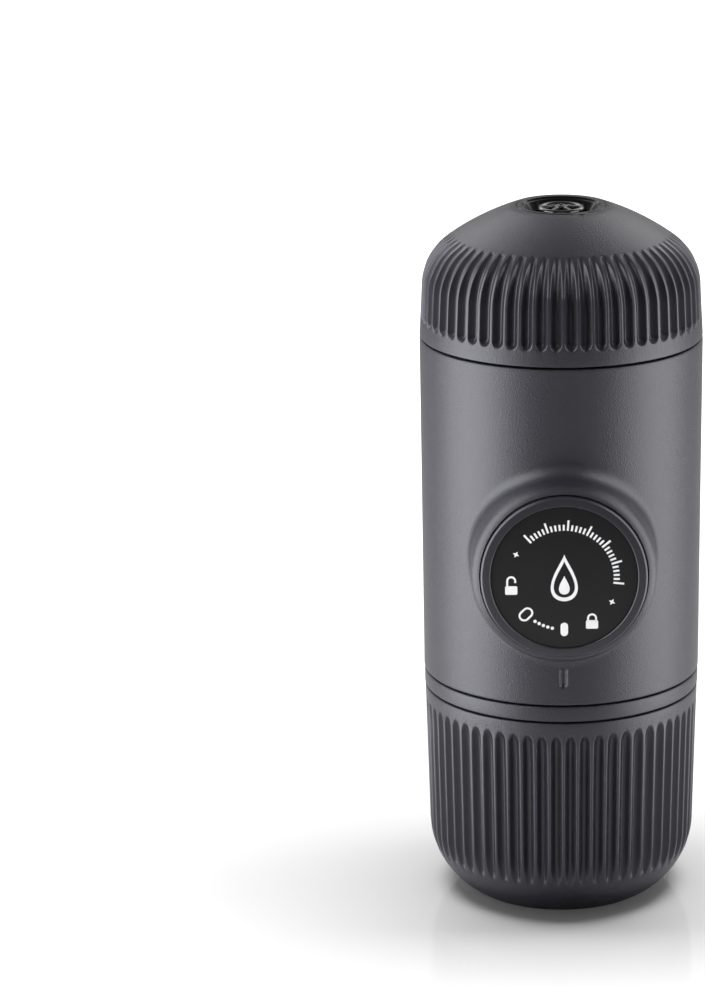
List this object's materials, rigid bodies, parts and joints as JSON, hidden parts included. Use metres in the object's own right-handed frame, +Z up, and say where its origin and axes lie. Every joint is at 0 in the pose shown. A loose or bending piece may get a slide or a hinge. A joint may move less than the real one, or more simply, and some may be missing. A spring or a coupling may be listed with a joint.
{
  "type": "handheld manual espresso maker",
  "caption": "Capsule-shaped hand-pumped espresso maker: ribbed dome tank, barrel with a radial pump button, screw-on outlet head with basket, ribbed cup as foot.",
  "frame": {"origin": "centre of the cup's foot, on the barrel's axis", "axes": "+Z up the barrel, -Y out of the pump button, +X to the right of someone who faces the button"},
  "size_m": [0.062, 0.071, 0.156],
  "materials": {
    "grained_grey_plastic": "fine leather grain, satin on the ribs",
    "black_plastic": "satin black",
    "inner_plastic": "smooth dark moulding",
    "perforated_steel": "brushed, perforated",
    "spring_and_screw_steel": "bright",
    "silicone": "soft, slightly glossy"
  },
  "bodies": {
    "cup": {"cup": "grained_grey_plastic"},
    "outlet_head": {"outlet_head": "grained_grey_plastic", "outlet_spout": "inner_plastic"},
    "basket": {"filter_basket": "perforated_steel"},
    "scoop": {"scoop": "inner_plastic"},
    "group_seal": {"group_seal": "silicone"},
    "main_body": {"body_shell": "grained_grey_plastic", "group_head": "inner_plastic", "tank_socket": "inner_plastic", "chassis_screws": "spring_and_screw_steel", "shower_screen": "perforated_steel", "screen_screw": "spring_and_screw_steel", "pump_cylinder": "inner_plastic", "cylinder_cap": "inner_plastic", "inlet_tube": "inner_plastic", "inlet_spring": "spring_and_screw_steel", "outlet_tube": "inner_plastic", "outlet_spring": "spring_and_screw_steel", "inlet_strainer": "perforated_steel", "return_spring": "spring_and_screw_steel"},
    "inlet_valve": {"inlet_ball": "spring_and_screw_steel"},
    "outlet_valve": {"outlet_ball": "spring_and_screw_steel"},
    "piston": {"piston": "inner_plastic", "piston_seal": "silicone", "knob_screw": "spring_and_screw_steel"},
    "knob": {"knob_shell": "grained_grey_plastic", "knob_disc": "black_plastic"},
    "tank_seal": {"tank_seal": "silicone"},
    "tank": {"tank_shell": "grained_grey_plastic", "vent_housing": "black_plastic", "vent_grille": "black_plastic", "vent_valve": "silicone", "vent_seal": "silicone"}
  },
  "joints": [
    {"name": "cup_release", "type": "slide", "parent": "cup", "child": "outlet_head", "axis": [0, 0, 1], "range_m": [0, 0.036]},
    {"name": "basket_lift", "type": "slide", "parent": "outlet_head", "child": "basket", "axis": [0, 0, 1], "range_m": [0, 0.02]},
    {"name": "scoop_lift", "type": "slide", "parent": "basket", "child": "scoop", "axis": [0, 0, 1], "range_m": [0, 0.016]},
    {"name": "body_rise", "type": "slide", "parent": "scoop", "child": "group_seal", "axis": [0, 0, 1], "range_m": [0, 0.009]},
    {"name": "body_turn", "type": "hinge", "parent": "group_seal", "child": "main_body", "pos_m": [0, 0, 0.06], "axis": [0, 0, 1], "range_deg": [0, 360]},
    {"name": "piston_stroke", "type": "slide", "parent": "main_body", "child": "piston", "axis": [0, -1, 0], "range_m": [0, 0.016], "deforming": ["return_spring"]},
    {"name": "knob_turn", "type": "hinge", "parent": "piston", "child": "knob", "pos_m": [0, -0.037, 0.0836], "axis": [0, -1, 0], "range_deg": [0, 45]},
    {"name": "inlet_valve_drop", "type": "slide", "parent": "main_body", "child": "inlet_valve", "axis": [0, 0, -1], "range_m": [0, 0.0008], "stiffness_N_per_m": 10, "springref_m": -0.002, "deforming": ["inlet_spring"]},
    {"name": "outlet_valve_drop", "type": "slide", "parent": "main_body", "child": "outlet_valve", "axis": [0, 0, -1], "range_m": [0, 0.0008], "stiffness_N_per_m": 10, "springref_m": -0.002, "deforming": ["outlet_spring"]},
    {"name": "tank_rise", "type": "slide", "parent": "main_body", "child": "tank_seal", "axis": [0, 0, 1], "range_m": [0, 0.0135]},
    {"name": "tank_turn", "type": "hinge", "parent": "tank_seal", "child": "tank", "pos_m": [0, 0, 0.12], "axis": [0, 0, 1], "range_deg": [0, 540]}
  ],
  "couplings": [
    {"joint": "body_turn", "follows": "body_rise", "rad_per_m": 698.13},
    {"joint": "tank_turn", "follows": "tank_rise", "rad_per_m": 698.13}
  ]
}
